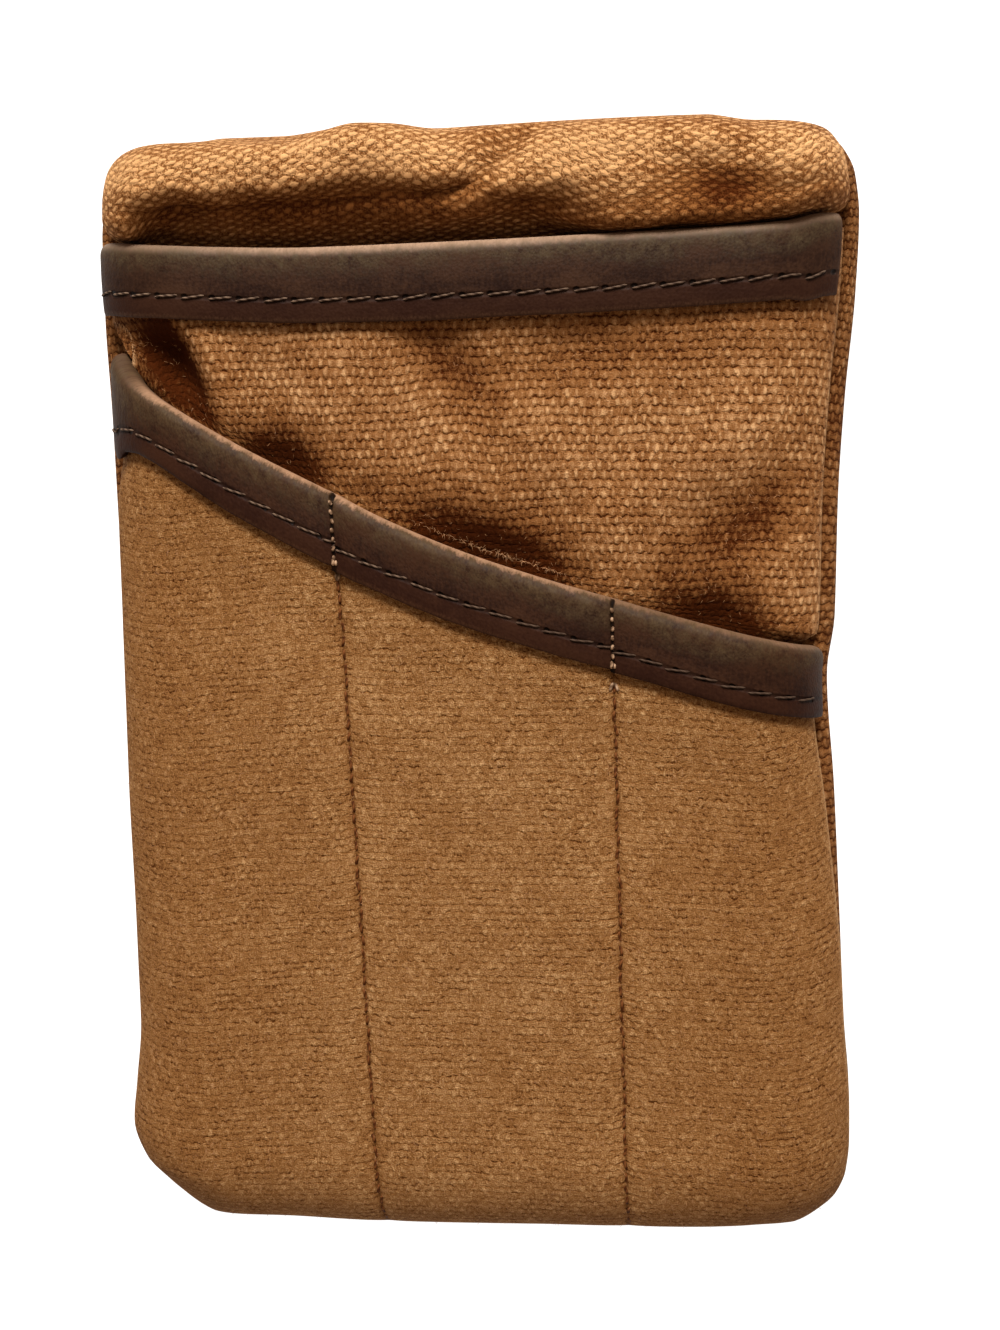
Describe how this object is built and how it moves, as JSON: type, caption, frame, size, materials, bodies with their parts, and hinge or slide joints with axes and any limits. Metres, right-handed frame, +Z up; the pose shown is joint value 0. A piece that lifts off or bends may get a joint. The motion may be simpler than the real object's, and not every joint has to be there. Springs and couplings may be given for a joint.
{
  "type": "zip pouch",
  "caption": "Small flat canvas pouch with a puckered roll at its zipped end, a leather bound slip pocket over its front and a slanting leather bound pocket stitched into slots.",
  "frame": {"origin": "middle of the pouch's footprint, on the surface it lies on", "axes": "+X across the pouch to its right as seen from above the pockets, +Y from the bottom seam to the zipped end, +Z up out of the pockets"},
  "size_m": [0.1054, 0.1551, 0.0203],
  "materials": {
    "canvas": "tan waxed canvas, matte",
    "leather": "dark brown oiled leather, worn paler on its folded edge",
    "zip_tape": "dark brown woven zip tape, matte"
  },
  "bodies": {
    "root": {"back_panel": "canvas", "front_panel": "canvas", "upper_pocket": "canvas", "lower_pocket": "canvas", "upper_binding": "leather", "lower_binding": "leather", "zip": "zip_tape"}
  },
  "joints": []
}
